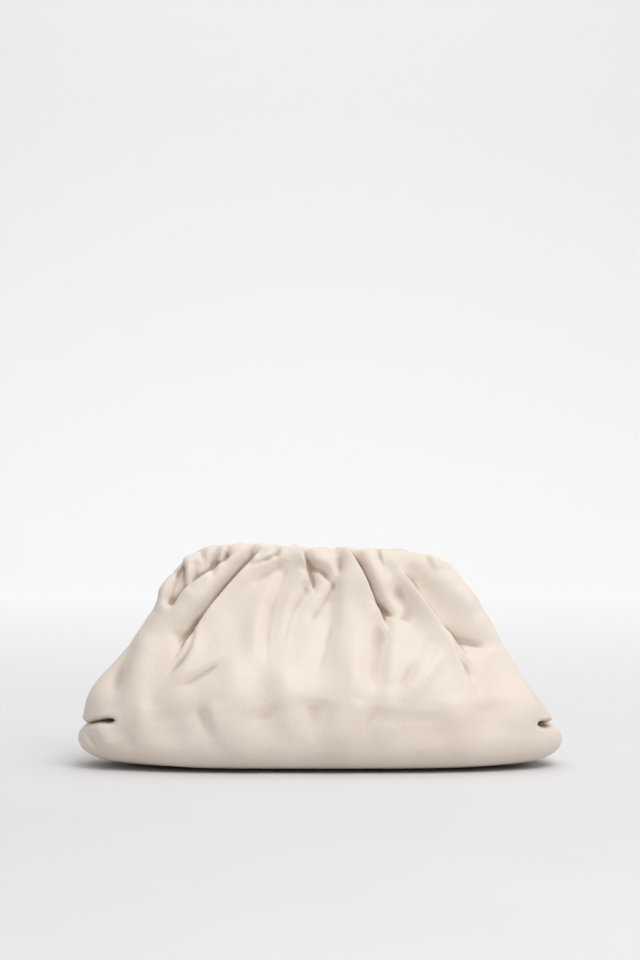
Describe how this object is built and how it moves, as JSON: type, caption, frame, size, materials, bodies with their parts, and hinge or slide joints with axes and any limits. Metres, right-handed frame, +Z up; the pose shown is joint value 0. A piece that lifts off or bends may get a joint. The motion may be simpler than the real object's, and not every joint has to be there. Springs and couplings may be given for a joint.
{
  "type": "cloud pouch bag",
  "caption": "Soft leather pouch clutch with gathered front and back panels over a hidden frame, folded-in ends and a flat sole.",
  "frame": {"origin": "middle of the sole, on the surface that the bag rests on", "axes": "+X along the bag to the right as seen from the front, front faces -Y, +Z up"},
  "size_m": [0.38, 0.1434, 0.172],
  "materials": {
    "leather": "soft smooth nappa, satin",
    "frame_steel": "satin"
  },
  "bodies": {
    "root": {"front_panel": "leather", "back_panel": "leather", "mouth_frame": "frame_steel"}
  },
  "joints": []
}
